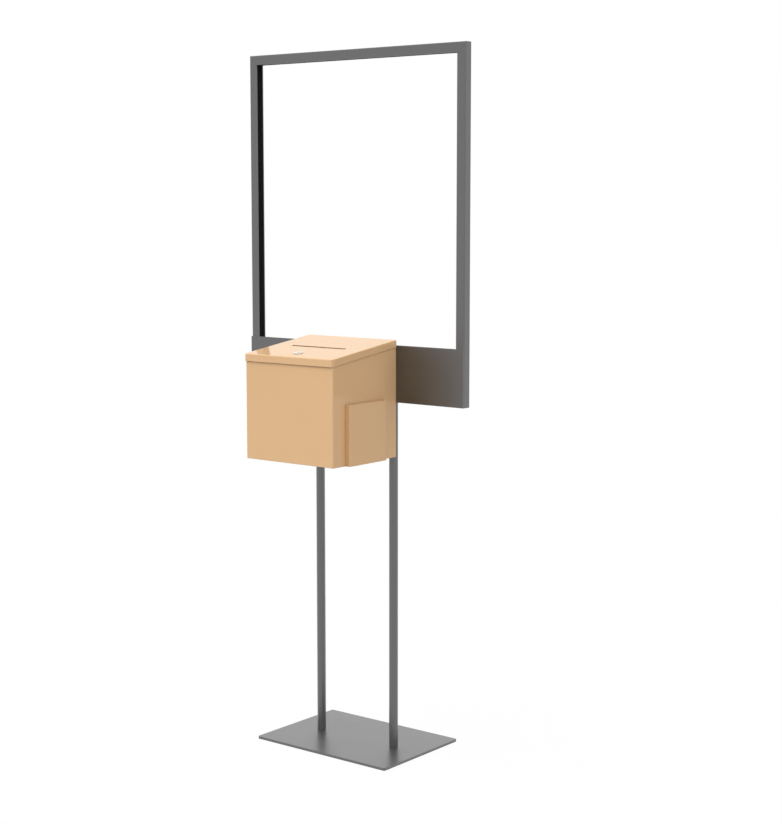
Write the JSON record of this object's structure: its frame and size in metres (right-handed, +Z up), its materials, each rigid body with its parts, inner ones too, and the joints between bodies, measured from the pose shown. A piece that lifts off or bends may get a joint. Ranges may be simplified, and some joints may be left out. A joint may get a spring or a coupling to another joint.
{
  "type": "donation box stand",
  "caption": "Floor-standing donation box: locking sheet-metal box with sloped slotted lid and card pocket, hung on the apron of an open poster frame on round posts and a flat base.",
  "frame": {"origin": "centre of the base plate's underside, on the floor midway between the posts", "axes": "+Z up, +X to the right seen from the front, the box and its lid face -Y"},
  "size_m": [0.582, 0.3469, 1.4861],
  "materials": {
    "frame_paint": "satin metallic grey powder coat",
    "box_paint": "glossy tan enamel",
    "zinc_steel": "bright zinc plate",
    "lock_chrome": "polished chrome plate"
  },
  "bodies": {
    "stand": {"base_plate": "frame_paint", "left_post": "frame_paint", "right_post": "frame_paint", "post_plugs": "zinc_steel", "base_screws": "zinc_steel", "top_channel": "frame_paint", "left_channel": "frame_paint", "right_channel": "frame_paint", "bottom_channel": "frame_paint", "apron_panel": "frame_paint", "box_wrap": "box_paint", "box_floor": "box_paint", "box_back": "box_paint", "box_bolts": "zinc_steel", "box_nuts": "zinc_steel", "card_pocket": "box_paint", "body_hinge_leaf": "box_paint", "hinge_pin": "zinc_steel"},
    "lid": {"lid_panel": "box_paint", "lid_hinge_leaf": "box_paint", "lock_body": "lock_chrome", "lock_nut": "zinc_steel"},
    "lock": {"lock_plug": "lock_chrome", "lock_cam": "zinc_steel", "cam_screw": "zinc_steel"}
  },
  "joints": [
    {"name": "lid_hinge", "type": "hinge", "parent": "stand", "child": "lid", "pos_m": [0, -0.0164, 0.881], "axis": [-1, 0, 0], "range_deg": [0, 100]},
    {"name": "lock_turn", "type": "hinge", "parent": "lid", "child": "lock", "pos_m": [0, -0.18571, 0.85947], "axis": [0, -0.1305, 0.9914], "range_deg": [0, 90]}
  ]
}
